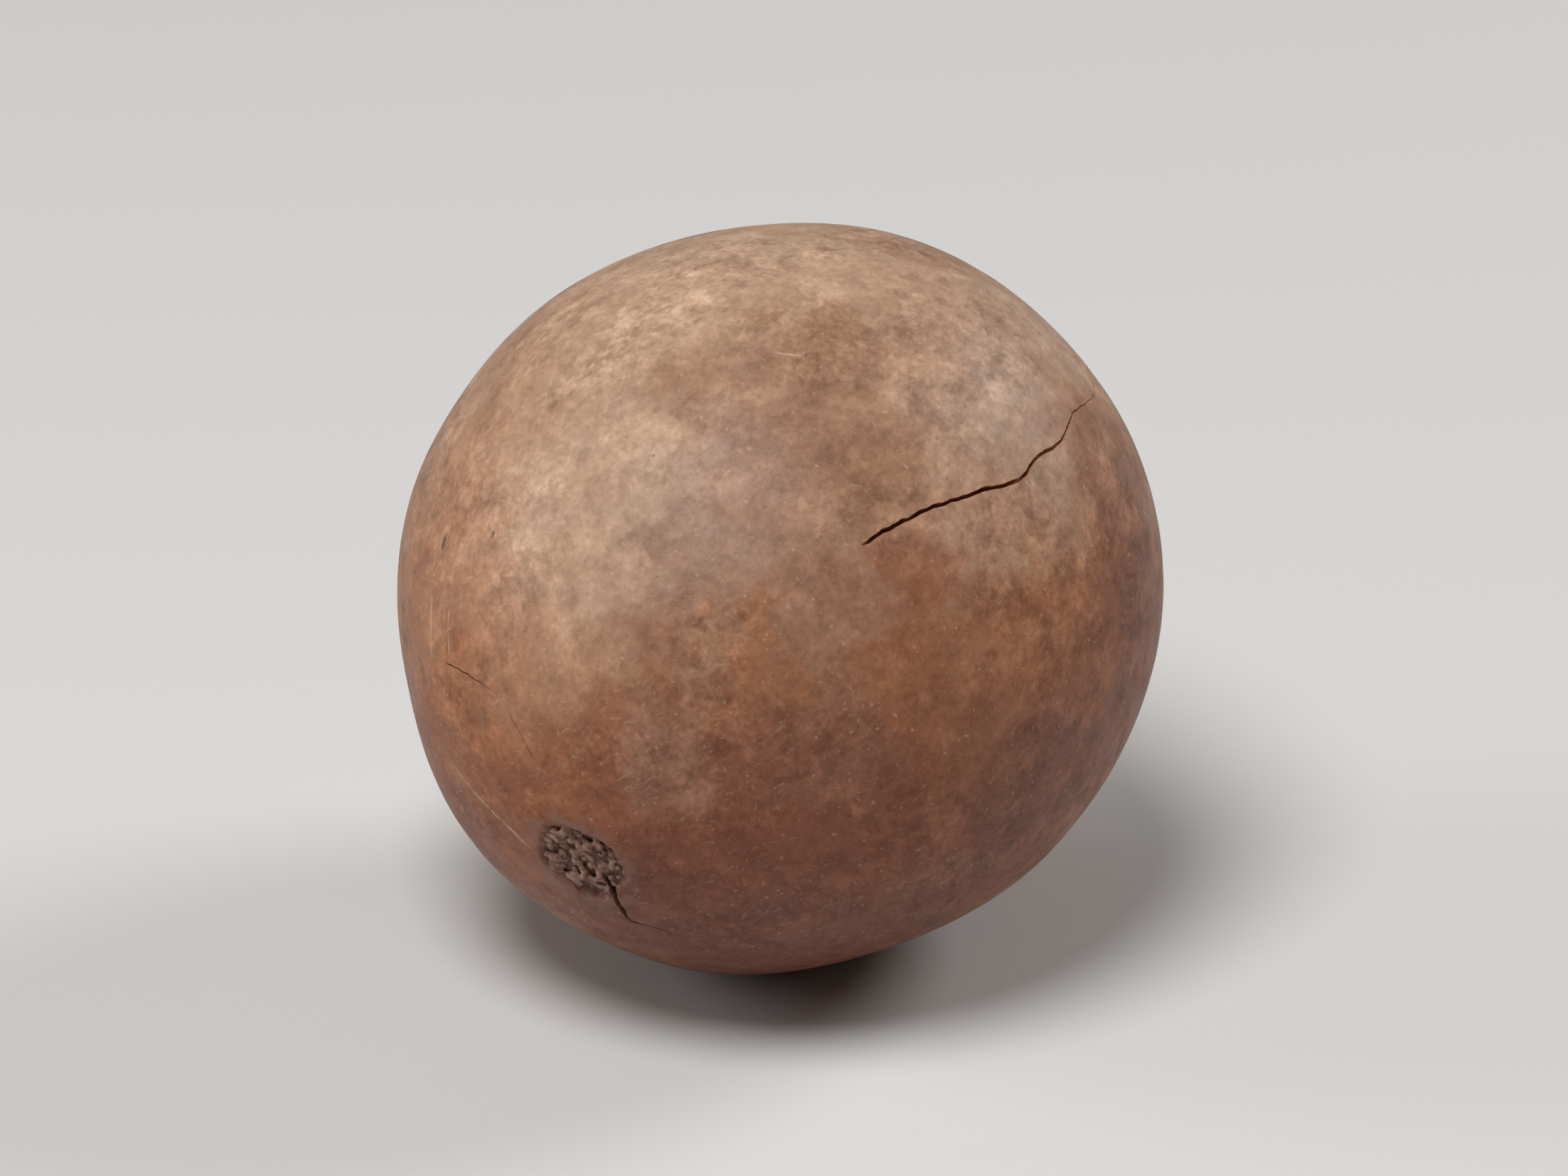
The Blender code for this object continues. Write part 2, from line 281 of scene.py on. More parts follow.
crack_routes = {"gaping crack": route_points(GAPING_CRACK), "scar gash": route_points(SCAR_GASH),
                "hairline": route_points(HAIRLINE)}
for name, points in crack_routes.items():
    print(name, "is", round(sum((b - a).length for a, b in zip(points, points[1:])), 1), "mm long")

# %% [markdown]
# ## A ball that is fine where it matters
#
# An even ball fine enough for the scar would need a million faces. This one starts from an icosphere,
# whose triangles are all nearly alike, and halves them only near the scar, the tip and the cracks. The
# triangles stay well shaped, which keeps the shading clean.

# %% The shell's ball
BALL_SUBDIVISIONS = 7
SCAR_FINE_REACH, SCAR_HALVINGS = 11.0, 2
TIP_FINE_REACH, TIP_HALVINGS = 8.0, 1
CRACK_FINE_REACH, CRACK_HALVINGS = 0.5, 2


def halve_near(ball, times, is_near):
    """Splits the edges whose two ends are both near, a number of times, and keeps the ball round."""
    for _ in range(times):
        near = {vert for vert in ball.verts if is_near(vert.co)}
        edges = [edge for edge in ball.edges if edge.verts[0] in near and edge.verts[1] in near]
        bmesh.ops.subdivide_edges(ball, edges=edges, cuts=1, use_grid_fill=True)
        bmesh.ops.triangulate(ball, faces=ball.faces[:])
        for vert in ball.verts:
            vert.co = vert.co.normalized() * WAIST_RADIUS


all_points = [point for points in crack_routes.values() for point in points]
near_routes = kdtree.KDTree(len(all_points))
for index, point in enumerate(all_points):
    near_routes.insert(point, index)
near_routes.balance()

scar_reach = WAIST_RADIUS * math.sin(math.radians(SCAR_FINE_REACH))
tip_reach = WAIST_RADIUS * math.sin(math.radians(TIP_FINE_REACH))
ball = bmesh.new()
bmesh.ops.create_icosphere(ball, subdivisions=BALL_SUBDIVISIONS, radius=WAIST_RADIUS)
halve_near(ball, SCAR_HALVINGS, lambda p: p.z > 0.0 and p.xy.length < scar_reach)
halve_near(ball, TIP_HALVINGS, lambda p: p.z < 0.0 and p.xy.length < tip_reach)
halve_near(ball, CRACK_HALVINGS, lambda p: near_routes.find(p)[2] < CRACK_FINE_REACH)
shell = new_object("nut_shell", ball)
print("Ball:", len(shell.data.polygons), "triangles")

# %% [markdown]
# ## The shell's skin in the round
#
# Close up the shell isn't smooth. It has shallow ripples about a millimetre or two apart, like orange
# peel, which break up the light. Round the stalk scar the shell swells to a low ragged rim, and inside it
# the surface is sunk. Both are true geometry, so that they show in the outline and in any light. The tree
# also stores how far a point is inside the scar, for the material to read later.

# %% Ripples and the scar's bed
SCAR_RADIUS = 1.70
SCAR_EDGE_WANDER, SCAR_EDGE_SIZE = 0.34, 0.9
SCAR_FLOOR, SCAR_WALL = 0.24, 0.45
FAR_OUTSIDE = -50.0
RIM_HEIGHT, RIM_WIDTH = 0.09, 1.5
BED_LUMP_HEIGHT, BED_LUMP_SIZE = 0.16, 0.45
RIPPLES = ((2.6, 0.034), (1.0, 0.014))

shell_material = bpy.data.materials.new("mottled shell")


def depth_into_scar(tree, direction):
    """How many millimetres a direction lies inside the scar's ragged edge, negative outside."""
    parts = put(tree, "ShaderNodeSeparateXYZ", {0: direction})
    spot = put(tree, "ShaderNodeCombineXYZ", {0: parts.outputs[0], 1: parts.outputs[1]}).outputs[0]
    spot = scaled(tree, spot, WAIST_RADIUS)
    ragged = noise(tree, spot, SCAR_EDGE_SIZE, detail=4.0, roughness=0.62).outputs[0]
    wander = calc(tree, "SUBTRACT", ragged, 0.5)
    edge = calc(tree, "MULTIPLY_ADD", wander, 2.0 * SCAR_EDGE_WANDER * SCAR_RADIUS, SCAR_RADIUS)
    inside = calc(tree, "SUBTRACT", edge, vector(tree, "LENGTH", spot))
    # The tip is as near to the axis as the scar, but has none
    far_half = calc(tree, "LESS_THAN", parts.outputs[2], 0.0)
    return calc(tree, "MULTIPLY_ADD", far_half, FAR_OUTSIDE, inside)


skin_sizes = {"Scar Floor": SCAR_FLOOR, "Scar Wall": SCAR_WALL, "Rim Height": RIM_HEIGHT,
              "Rim Width": RIM_WIDTH}
skin, given, final = new_tree("shell skin", skin_sizes)
shaped = put(skin, "GeometryNodeGroup", {0: given["Geometry"]}, node_tree=nut_form).outputs[0]
position = put(skin, "GeometryNodeInputPosition").outputs[0]
direction = vector(skin, "NORMALIZE", position)
inside = depth_into_scar(skin, direction)
sunk = ramp(skin, inside, 0.0, given["Scar Wall"])
from_edge = calc(skin, "ABSOLUTE", inside)
rim = ramp(skin, from_edge, 0.0, given["Rim Width"], given["Rim Height"], 0.0)
lumps = noise(skin, position, BED_LUMP_SIZE, detail=3.0).outputs[0]
scar_bed = calc(skin, "SUBTRACT", calc(skin, "MULTIPLY", lumps, BED_LUMP_HEIGHT), given["Scar Floor"])
rise = put(skin, "ShaderNodeMix", {0: sunk, 2: rim, 3: scar_bed}).outputs[0]
for size, height in RIPPLES:
    rise = calc(skin, "MULTIPLY_ADD", noise(skin, position, size, detail=1.0).outputs[0], -height, rise)
offset = scaled(skin, direction, rise)
shaped = put(skin, "GeometryNodeSetPosition", {0: shaped, "Offset": offset}).outputs[0]
stored = {0: shaped, "Name": "in_scar", "Value": inside}
shaped = put(skin, "GeometryNodeStoreNamedAttribute", stored).outputs[0]
shaped = put(skin, "GeometryNodeRealizeInstances", {0: shaped}).outputs[0]
shaped = put(skin, "GeometryNodeSetMaterial", {0: shaped, "Material": shell_material}).outputs[0]
skin.links.new(shaped, final)
run_tree(shell, skin, skin_sizes)

# %% [markdown]
# ## Laying the nut down
#
# The whole nut is turned, scaled to metres and moved in one matrix. Its place comes from the CAD model's
# box, in which the top and both sides touch. It is only worked out here, because the cracks and the cork
# are still made in the nut's own axes.

# %% The matrix that lays everything in the frame
turned = [lie @ vert.co * MILLIMETRE for vert in shell.data.vertices]
low = Vector([min(point[axis] for point in turned) for axis in range(3)])
high = Vector([max(point[axis] for point in turned) for axis in range(3)])
nut_low, nut_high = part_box("nut")
nut_low, nut_high = Vector(nut_low), Vector(nut_high)
middle = (nut_low + nut_high) / 2.0 - (low + high) / 2.0
middle.z = nut_high.z - high.z
lay_down = Matrix.Translation(middle) @ lie @ Matrix.Scale(MILLIMETRE, 4)
print("The nut's middle in mm:", [round(1000.0 * part, 3) for part in middle])

# %% [markdown]
# ## The cork of the scar
#
# Where the stalk broke away, the ends of its bundles are left as a patch of pale cork: little loops and
# crumbs with dark pits between them. Modelling each by hand would take days. Two layers of points are
# strewn over the scar instead, never closer than a set spacing, and each gets a curl or a crumb with its
# own size and turn. A volume then melts them into one knobbly mass, as cork is, and a last noise roughens
# it. The tree also stores how high each point stands, so that the material can paint shade into the pits.

# %% Sizes of the cork, in mm
CURL_RADIUS, CURL_THICKNESS, CURL_SPACING = 0.25, 0.22, 0.50
CRUMB_SIZE, CRUMB_SPACING = 0.17, 0.30
# How deep the middles lie under the ball, and the smallest and largest share of the full size
CURL_SINK, CURL_SMALLEST, CURL_LARGEST = 0.15, 0.65, 1.25
CRUMB_SINK, CRUMB_SMALLEST, CRUMB_LARGEST = 0.21, 0.60, 1.40
# A curl's arc in degrees, and the most that any of them leans, in radians
CURL_SWEEP, CORK_TILT = 250.0, 0.50
CORK_SEED = 5
# None stands nearer to the scar's edge than this
EDGE_MARGIN = 0.12
# The disc that they are strewn over, in scar radii, its sides, and the most points on a square millimetre
DISC_SPREAD, DISC_SIDES, MOST_POINTS = 1.3, 64, 60.0
ARC_POINTS, RING_POINTS, CRUMB_SUBDIVISIONS = 14, 8, 2
CORK_VOXEL, CORK_THRESHOLD = 0.030, 0.1
# Size and height of the noises that push the cork about, before and after it is melted
CORK_WARPS = ((0.36, 0.12), (0.13, 0.045))

cork_material = bpy.data.materials.new("scar cork")
print("Cork: curls", CURL_SPACING, "mm apart and crumbs", CRUMB_SPACING, "mm apart")

# %% The cork tree
cork_sizes = {"Scar Radius": SCAR_RADIUS, "Curl Radius": CURL_RADIUS, "Curl Thickness": CURL_THICKNESS,
              "Curl Spacing": CURL_SPACING, "Crumb Size": CRUMB_SIZE, "Crumb Spacing": CRUMB_SPACING,
              "Voxel": CORK_VOXEL, "Seed": CORK_SEED}
cork_tree, given, final = new_tree("scar cork", cork_sizes)
disc_radius = calc(cork_tree, "MULTIPLY", given["Scar Radius"], DISC_SPREAD)
disc = {0: DISC_SIDES, 1: disc_radius}
disc = put(cork_tree, "GeometryNodeMeshCircle", disc, fill_type="NGON").outputs[0]
position = put(cork_tree, "GeometryNodeInputPosition").outputs[0]


def strewn(thing, spacing, seed, sink, smallest, largest):
    """The thing at points over the scar, no closer than a spacing, turned and sized at random."""
    strewing = {0: disc, "Distance Min": spacing, "Density Max": MOST_POINTS, "Seed": seed}
    points = put(cork_tree, "GeometryNodeDistributePointsOnFaces", strewing, distribute_method="POISSON")
    points = points.outputs[0]
    onto_ball = vector(cork_tree, "ADD", position, (0.0, 0.0, WAIST_RADIUS))
    onto_ball = scaled(cork_tree, vector(cork_tree, "NORMALIZE", onto_ball), WAIST_RADIUS - sink)
    points = put(cork_tree, "GeometryNodeSetPosition", {0: points, "Position": onto_ball}).outputs[0]
    outward = vector(cork_tree, "NORMALIZE", position)
    inside = depth_into_scar(cork_tree, outward)
    outside = calc(cork_tree, "LESS_THAN", inside, EDGE_MARGIN)
    points = put(cork_tree, "GeometryNodeDeleteGeometry", {0: points, 1: outside}).outputs[0]
    turns = {0: (-CORK_TILT, -CORK_TILT, 0.0), 1: (CORK_TILT, CORK_TILT, math.tau), "Seed": seed}
    turn = put(cork_tree, "FunctionNodeRandomValue", turns, data_type="FLOAT_VECTOR").outputs[0]
    size = put(cork_tree, "FunctionNodeRandomValue", {2: smallest, 3: largest, "Seed": seed}).outputs[1]
    on_points = {0: points, "Instance": thing, "Rotation": turn, "Scale": size}
    return put(cork_tree, "GeometryNodeInstanceOnPoints", on_points).outputs[0]


def warped(geometry, size, height):
    """Pushes every point of the cork about by a noise."""
    push = vector(cork_tree, "SUBTRACT", noise(cork_tree, position, size).outputs[1], (0.5, 0.5, 0.5))
    pushed = {0: geometry, "Offset": scaled(cork_tree, push, 2.0 * height)}
    return put(cork_tree, "GeometryNodeSetPosition", pushed).outputs[0]


sweep = {"Resolution": ARC_POINTS, "Radius": given["Curl Radius"], "Sweep Angle": math.radians(CURL_SWEEP)}
arc = put(cork_tree, "GeometryNodeCurveArc", sweep).outputs[0]
half_thick = calc(cork_tree, "MULTIPLY", given["Curl Thickness"], 0.5)
ring = put(cork_tree, "GeometryNodeCurvePrimitiveCircle", {0: RING_POINTS, "Radius": half_thick}).outputs[0]
curl = put(cork_tree, "GeometryNodeCurveToMesh", {0: arc, 1: ring, "Fill Caps": True}).outputs[0]
crumb = {0: given["Crumb Size"], 1: CRUMB_SUBDIVISIONS}
crumb = put(cork_tree, "GeometryNodeMeshIcoSphere", crumb).outputs[0]
curls = strewn(curl, given["Curl Spacing"], given["Seed"], CURL_SINK, CURL_SMALLEST, CURL_LARGEST)
crumb_seed = calc(cork_tree, "ADD", given["Seed"], 1.0)
crumbs = strewn(crumb, given["Crumb Spacing"], crumb_seed, CRUMB_SINK, CRUMB_SMALLEST, CRUMB_LARGEST)
heap = put(cork_tree, "GeometryNodeJoinGeometry", {0: curls})
cork_tree.links.new(crumbs, heap.inputs[0])
heap = put(cork_tree, "GeometryNodeRealizeInstances", {0: heap.outputs[0]}).outputs[0]

heap = warped(heap, *CORK_WARPS[0])
volume = {0: heap, "Voxel Size": given["Voxel"]}
volume = put(cork_tree, "GeometryNodeMeshToVolume", volume, resolution_mode="VOXEL_SIZE").outputs[0]
melted = {0: volume, "Voxel Size": given["Voxel"], "Threshold": CORK_THRESHOLD}
melted = put(cork_tree, "GeometryNodeVolumeToMesh", melted, resolution_mode="VOXEL_SIZE").outputs[0]
melted = warped(melted, *CORK_WARPS[1])
from_ball = calc(cork_tree, "SUBTRACT", vector(cork_tree, "LENGTH", position), WAIST_RADIUS - SCAR_FLOOR)
stored = {0: melted, "Name": "stands_out", "Value": from_ball}
melted = put(cork_tree, "GeometryNodeStoreNamedAttribute", stored).outputs[0]
melted = put(cork_tree, "GeometryNodeGroup", {0: melted}, node_tree=nut_form).outputs[0]
melted = put(cork_tree, "GeometryNodeSetShadeSmooth", {0: melted, "Shade Smooth": True}).outputs[0]
melted = put(cork_tree, "GeometryNodeRealizeInstances", {0: melted}).outputs[0]
melted = put(cork_tree, "GeometryNodeSetMaterial", {0: melted, "Material": cork_material}).outputs[0]
cork_tree.links.new(melted, final)

cork = new_object("scar_cork", bmesh.new())
run_tree(cork, cork_tree, cork_sizes)

# %% [markdown]
# ## Opening the cracks
#
# A crack is dark because light goes in and doesn't come out, so painting a dark line isn't enough. A thin
# blade is swept along each route and cut out of the shell, which leaves two real walls. The blade is a
# curve with a wedge for its profile. Its width opens bluntly, wavers, and thins out to the far end, and
# small kinks follow the shell's grain. The curve's normal is set to the radius, so the wedge always stands
# upright in the shell. The gash starts inside the scar, so its blade is taken out of the cork as well.

# %% The blade tree
CRACK_WIDTH = 0.29
CRACK_DEPTH = 0.40
# How far the blade stands out of the shell, and the width of its lower edge as a share of its upper one
BLADE_CLEARANCE, FLOOR_SHARE = 0.5, 0.3
KINK_HEIGHT, KINK_SIZE = 0.12, 0.5
WAVER, WAVER_SIZE, WAVER_FROM, WAVER_TO = 0.3, 0.5, 0.3, 0.7
# The blunt start and the thin end, in shares of the width and of the length
START_WIDTH, START_LENGTH = 0.4, 0.014
THIN_FROM, THIN_TO, END_WIDTH = 0.35, 0.82, 0.19
# The first of the quadrilateral's four corner sockets
FIRST_CORNER = 7

crack_material = bpy.data.materials.new("crack wall")

blade_sizes = {"Crack Width": CRACK_WIDTH, "Crack Depth": CRACK_DEPTH, "Kink Height": KINK_HEIGHT,
               "Route Step": ROUTE_STEP}
blade, given, final = new_tree("crack blade", blade_sizes)
path = put(blade, "GeometryNodeMeshToCurve", {0: given["Geometry"]}).outputs[0]
even = {0: path, "Length": given["Route Step"]}
path = put(blade, "GeometryNodeResampleCurve", even, mode="LENGTH").outputs[0]
position = put(blade, "GeometryNodeInputPosition").outputs[0]
share = put(blade, "GeometryNodeSplineParameter").outputs[0]

kink = noise(blade, position, KINK_SIZE, detail=4.0, roughness=0.6).outputs[1]
kink = vector(blade, "SUBTRACT", kink, (0.5, 0.5, 0.5))
kink = scaled(blade, kink, calc(blade, "MULTIPLY", given["Kink Height"], 2.0))
kinked = vector(blade, "ADD", position, kink)
kinked = scaled(blade, vector(blade, "NORMALIZE", kinked), WAIST_RADIUS)
path = put(blade, "GeometryNodeSetPosition", {0: path, "Position": kinked}).outputs[0]
path = put(blade, "GeometryNodeSetCurveNormal", {0: path, "Normal": position}, mode="FREE").outputs[0]

opening = ramp(blade, share, 0.0, START_LENGTH, START_WIDTH, 1.0)
thinning = ramp(blade, share, THIN_FROM, THIN_TO, 1.0, END_WIDTH)
waver = noise(blade, position, WAVER_SIZE).outputs[0]
waver = ramp(blade, waver, WAVER_FROM, WAVER_TO, 1.0 - WAVER, 1.0)
width = calc(blade, "MULTIPLY", calc(blade, "MULTIPLY", opening, thinning), waver)

half = calc(blade, "MULTIPLY", given["Crack Width"], 0.5)
floor_half = calc(blade, "MULTIPLY", half, FLOOR_SHARE)
down = calc(blade, "MULTIPLY", given["Crack Depth"], -1.0)
corners = ((BLADE_CLEARANCE, calc(blade, "MULTIPLY", half, -1.0)), (BLADE_CLEARANCE, half),
           (down, floor_half), (down, calc(blade, "MULTIPLY", floor_half, -1.0)))
wedge = put(blade, "GeometryNodeCurvePrimitiveQuadrilateral", mode="POINTS")
for number, (across, side) in enumerate(corners):
    corner = put(blade, "ShaderNodeCombineXYZ", {0: across, 1: side}).outputs[0]
    blade.links.new(corner, wedge.inputs[FIRST_CORNER + number])
swept = {0: path, 1: wedge.outputs[0], "Scale": width, "Fill Caps": True}
cutter = put(blade, "GeometryNodeCurveToMesh", swept).outputs[0]
cutter = put(blade, "GeometryNodeGroup", {0: cutter}, node_tree=nut_form).outputs[0]
cutter = put(blade, "GeometryNodeRealizeInstances", {0: cutter}).outputs[0]
cutter = put(blade, "GeometryNodeSetMaterial", {0: cutter, "Material": crack_material}).outputs[0]
blade.links.new(cutter, final)
print("The blade is", CRACK_WIDTH, "mm wide and", CRACK_DEPTH, "mm deep in the gaping crack")

# %% Cut the three cracks
# Width and depth, as shares of the gaping crack's
CRACKS = {"gaping crack": (1.0, 1.0), "scar gash": (1.0, 2.2), "hairline": (0.42, 0.9)}


def cut_open(piece, cutter, wall_material):
    """Takes a cutter's space out of a piece, and gives the new walls their material."""
    cutter.data.materials[0] = wall_material
    cut = piece.modifiers.new(cutter.name, "BOOLEAN")
    cut.operation = "DIFFERENCE"
    cut.solver = "EXACT"
    cut.material_mode = "TRANSFER"
    cut.object = cutter
    graph = bpy.context.evaluated_depsgraph_get()
    opened = bpy.data.meshes.new_from_object(piece.evaluated_get(graph), preserve_all_data_layers=True,
                                             depsgraph=graph)
    piece.modifiers.remove(cut)
    piece.data = opened
    print(piece.name, "cut by the", cutter.name, "has", len(opened.polygons), "faces")


for name, (width_share, depth_share) in CRACKS.items():
    line = bmesh.new()
    verts = [line.verts.new(point) for point in crack_routes[name]]
    for a, b in zip(verts, verts[1:]):
        line.edges.new((a, b))
    cutter = new_object(name, line)
    blade_sizes["Crack Width"] = CRACK_WIDTH * width_share
    blade_sizes["Crack Depth"] = CRACK_DEPTH * depth_share
    run_tree(cutter, blade, blade_sizes)
    cut_open(shell, cutter, crack_material)
    if name == "scar gash":
        cut_open(cork, cutter, cork_material)
    bpy.data.objects.remove(cutter)

# %% [markdown]
# ## The flat spot
#
# A real nut touches the table on a tiny patch. The CAD model has a flat there, so the shell is laid in its
# frame and sliced at the table's height, and the cut is closed with one face. Edges that turn more than a
# set angle, such as the lips of the cracks, are marked sharp, while the rest is shaded smooth.

# %% Lay the shell down and slice it
SHARP_ANGLE = 40.0
FACING_DOWN = -0.9999

shell.data.transform(lay_down)
cork.data.transform(lay_down)
sliced = bmesh.new()
sliced.from_mesh(shell.data)
geometry = sliced.verts[:] + sliced.edges[:] + sliced.faces[:]
cut = bmesh.ops.bisect_plane(sliced, geom=geometry, plane_no=(0.0, 0.0, -1.0), clear_outer=True)
outline = [part for part in cut["geom_cut"] if isinstance(part, bmesh.types.BMEdge)]
bmesh.ops.contextual_create(sliced, geom=outline)
bmesh.ops.recalc_face_normals(sliced, faces=sliced.faces[:])
flat_faces = [face for face in sliced.faces if face.normal.z < FACING_DOWN]
print("Flat spot:", round(1e6 * sum(face.calc_area() for face in flat_faces), 2), "square mm")
sliced.to_mesh(shell.data)
sliced.free()
shell.data.shade_smooth()
shell.data.set_sharp_from_angle(angle=math.radians(SHARP_ANGLE))

# %% [markdown]
# ## Own coordinates for the materials
#
# The pattern of a nut belongs to the nut, so every material reads the object's coordinates, turned back
# into the nut's own axes and millimetres by one Mapping node. Blotch sizes can then be written as they are
# measured, and a stain can be put at a place by its two angles, just as the forms were. An edge that
# wanders with a noise looks grown rather than drawn, and two more helpers give that to whatever needs it.

# %% Material helpers
def own_axes(tree):
    """Object coordinates as millimetres in the nut's own axes, and the direction from its middle."""
    coordinates = put(tree, "ShaderNodeTexCoord").outputs["Object"]
    turned_back = {0: coordinates, "Location": middle, "Rotation": lie.to_euler(),
                   "Scale": (MILLIMETRE, MILLIMETRE, MILLIMETRE)}
    own = put(tree, "ShaderNodeMapping", turned_back, vector_type="TEXTURE").outputs[0]
    return own, vector(tree, "NORMALIZE", own)


def mix(tree, factor, a, b, blend="MIX"):
    """Two colours mixed by a factor."""
    node = put(tree, "ShaderNodeMix", {0: factor}, data_type="RGBA", blend_type=blend)
    for key, colour in ((6, a), (7, b)):
        if isinstance(colour, bpy.types.NodeSocket):
            tree.links.new(colour, node.inputs[key])
        else:
            node.inputs[key].default_value = (*colour, 1.0)
    return node.outputs[2]


def stray(tree, where, size, detail=2.0, roughness=0.5):
    """A small vector in no set direction, which differs from place to place."""
    return vector(tree, "SUBTRACT", noise(tree, where, size, detail, roughness).outputs[1], (0.5, 0.5, 0.5))


def strayed(tree, where, push, height):
    """A place or direction pushed aside by a stray vector."""
    return vector(tree, "ADD", where, scaled(tree, push, height))


def dull_surface(material, roughness, specular):
    """Starts a material: a Principled shader with these fixed values. Returns its tree and the shader."""
    material.use_nodes = True
    tree = material.node_tree
    shader = tree.nodes["Principled BSDF"]
    shader.inputs["Roughness"].default_value = roughness
    shader.inputs["Specular IOR Level"].default_value = specular
    return tree, shader


print("The materials undo a turn of", [round(math.degrees(turn), 1) for turn in lie.to_euler()], "degrees")

# %% [markdown]
# ## The shell's colour
#
# The shell is mottled like old leather. Its stalk half is a deep red brown and its tip half a paler tan,
# with clouds of taupe, brown and orange over both. A handful of named tones is enough. Random clouds of
# them cover the whole nut first. The clouds that give this nut its face are then put in by place, and
# their edges are torn by a noise that bends the direction before it is measured. Among the placed ones
# are painted light: a patch of painted shade low beside the scar and a painted highlight at the left.

# %% Tones and clouds
TONES = {
    "pale": (0.480, 0.330, 0.228),
    "tan": (0.420, 0.250, 0.158),
    "taupe": (0.310, 0.182, 0.124),
    "brown": (0.275, 0.135, 0.076),
    "orange": (0.370, 0.142, 0.055),
    "red brown": (0.190, 0.064, 0.035),
    # The dark tone is used only for painted shade
    "dark": (0.125, 0.048, 0.029),
}
# Tone, size in mm, strength
CLOUDS = (
    ("taupe", 8.0, 0.65),
    ("red brown", 5.0, 0.42),
    ("tan", 3.6, 0.45),
    ("orange", 3.0, 0.20),
)
FINEST_DETAIL = 0.12
CLOUD_FROM, CLOUD_TO = 0.46, 0.68
STALK_TONE_FROM, STALK_TONE_TO = 15.0, 85.0


def clouds(number, size, strength):
    """How much a layer of clouds covers: up to its strength, where a noise of this size is high."""
    elsewhere = vector(tree, "ADD", own, (37.0 * number, 11.0 * number, 0.0))
    octaves = max(1.0, round(math.log2(size / FINEST_DETAIL)))
    height = noise(tree, elsewhere, size, octaves, roughness=0.6).outputs[0]
    return ramp(tree, height, CLOUD_FROM, CLOUD_TO, 0.0, strength)


tree, shader = dull_surface(shell_material, roughness=0.48, specular=0.25)
own, direction = own_axes(tree)
from_stalk = degrees_from(tree, direction, place(0.0, 0.0))
tip_half = ramp(tree, from_stalk, STALK_TONE_FROM, STALK_TONE_TO)
colour = mix(tree, tip_half, TONES["red brown"], TONES["brown"])
for number, (tone, size, strength) in enumerate(CLOUDS):
    colour = mix(tree, clouds(number, size, strength), colour, TONES[tone])
print("Shell colour:", len(TONES), "tones and", len(CLOUDS), "layers of random clouds")

# %% Stains, painted shade and a painted highlight put in by place: tone, degrees from the scar, longitude, radius in degrees, strength
STAINS_AND_PAINTED_LIGHT = (
    ("tan", 85.0, 60.0, 55.0, 0.95),
    ("tan", 120.0, -150.0, 40.0, 0.60),
    ("red brown", 36.0, -50.0, 48.0, 0.85),
    ("red brown", 95.0, -45.0, 36.0, 0.75),
    # Painted shade: darkens the lower part of the nut beside the scar
    ("dark", 35.0, -80.0, 30.0, 0.45),
    ("tan", 90.0, -8.0, 12.0, 0.60),
    ("red brown", 10.0, 115.0, 11.0, 0.90),
    ("pale", 50.0, 50.0, 30.0, 0.75),
    ("pale", 103.0, 57.0, 36.0, 0.65),
    ("pale", 102.0, 6.0, 14.0, 0.40),
    ("pale", 128.0, 12.0, 20.0, 0.65),
    ("pale", 97.0, 36.0, 9.0, 0.60),
    ("taupe", 51.0, 29.0, 23.0, 0.75),
    ("pale", 49.0, 57.0, 13.0, 0.85),
    ("brown", 85.0, 36.0, 20.0, 0.75),
    ("brown", 73.0, 25.0, 12.0, 0.60),
    ("tan", 84.0, 5.0, 8.0, 0.70),
    ("red brown", 69.0, 5.0, 9.0, 0.48),
    ("red brown", 26.0, -18.0, 29.0, 0.85),
    ("orange", 44.0, -9.0, 30.0, 0.45),
    ("orange", 34.0, 96.0, 36.0, 0.48),
    ("orange", 47.0, 17.0, 7.0, 0.35),
    ("brown", 80.0, 15.0, 8.0, 0.50),
    ("brown", 31.0, 24.0, 7.0, 0.50),
    ("taupe", 57.0, 5.0, 8.0, 0.40),
    ("orange", 84.0, -22.0, 17.0, 0.45),
    ("taupe", 25.0, 10.0, 9.0, 0.50),
    ("taupe", 45.0, -7.0, 12.0, 0.40),
    # Painted highlight: a pale patch on the left flank, where the light falls brightest
    ("pale", 52.0, 72.0, 10.0, 0.45),
    ("red brown", 38.0, -22.0, 20.0, 0.60),
    ("red brown", 42.0, 165.0, 26.0, 0.50),
)
STAIN_TEAR, STAIN_TEAR_SIZE = 0.36, 3.0
# Where a stain starts to fade and where it ends, in shares of its radius
STAIN_CORE, STAIN_END = 0.35, 1.3

tear = stray(tree, own, STAIN_TEAR_SIZE, detail=6.0, roughness=0.62)
torn = vector(tree, "NORMALIZE", strayed(tree, direction, tear, 2.0 * STAIN_TEAR))
for tone, from_scar, longitude, radius, strength in STAINS_AND_PAINTED_LIGHT:
    away = degrees_from(tree, torn, place(from_scar, longitude))
    cover = ramp(tree, away, STAIN_CORE * radius, STAIN_END * radius, strength, 0.0)
    colour = mix(tree, cover, colour, TONES[tone])
print("Stains put in by place:", len(STAINS_AND_PAINTED_LIGHT))

# %% [markdown]
# ## Mottle, specks and pores
#
# Over the clouds lies the fine skin. Flecks from more than a millimetre down to a grain of dust are the
# same clouds made small, and they multiply the colour below, so that they stay in tune with it. Pale
# specks sit where the outer layer flaked, and a few dark pores go deeper. Voronoi cells suit specks and
# pores, because each cell can be switched on by its own random colour.

